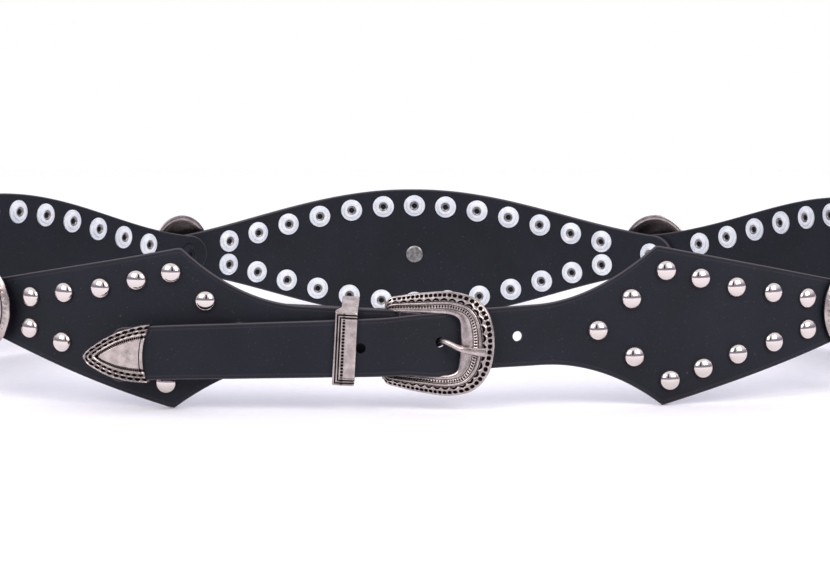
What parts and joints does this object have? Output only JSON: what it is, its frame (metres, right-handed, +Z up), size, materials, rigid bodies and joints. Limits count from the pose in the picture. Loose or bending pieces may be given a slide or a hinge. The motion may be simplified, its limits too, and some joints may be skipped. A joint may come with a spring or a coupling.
{
  "type": "studded belt",
  "caption": "Shaped leather belt buckled into a loop on its lower edge: studded eye panels joined under round ornaments, a tapered strap, engraved buckle set and metal tip.",
  "frame": {"origin": "on the surface that the belt stands on, under the middle of its bounding box", "axes": "+X along the loop's long side, to the right as one faces the buckle from outside; -Y the way the buckle faces; +Z up, across the belt's width"},
  "size_m": [0.3436, 0.2392, 0.0591],
  "materials": {
    "leather": "black, smooth matte top grain",
    "studded_leather": "black matte leather with fused nickel caps and white nylon washers",
    "antique_silver": "cast white metal, antique silver plate, dark in its recesses",
    "nickel": "polished nickel"
  },
  "bodies": {
    "root": {"buckle_panel": "leather", "back_panel_left": "studded_leather", "back_panel_right": "studded_leather", "back_panel_center": "studded_leather", "strap_panel": "leather", "center_rivet": "nickel", "buckle_frame": "antique_silver", "prong": "antique_silver", "keeper": "antique_silver", "tip": "antique_silver", "concho_left_front": "antique_silver", "concho_left_back": "antique_silver", "concho_right_back": "antique_silver", "concho_right_front": "antique_silver", "stud_left_upper_1": "nickel", "stud_left_lower_1": "nickel", "stud_left_upper_2": "nickel", "stud_left_lower_2": "nickel", "stud_left_upper_3": "nickel", "stud_left_lower_3": "nickel", "stud_left_upper_4": "nickel", "stud_left_lower_4": "nickel", "stud_left_upper_5": "nickel", "stud_left_lower_5": "nickel", "stud_left_upper_6": "nickel", "stud_left_lower_6": "nickel", "stud_left_middle_7": "nickel", "stud_right_upper_1": "nickel", "stud_right_lower_1": "nickel", "stud_right_upper_2": "nickel", "stud_right_lower_2": "nickel", "stud_right_upper_3": "nickel", "stud_right_lower_3": "nickel", "stud_right_upper_4": "nickel", "stud_right_lower_4": "nickel", "stud_right_upper_5": "nickel", "stud_right_lower_5": "nickel", "stud_right_upper_6": "nickel", "stud_right_lower_6": "nickel", "stud_right_middle_7": "nickel"}
  },
  "joints": []
}
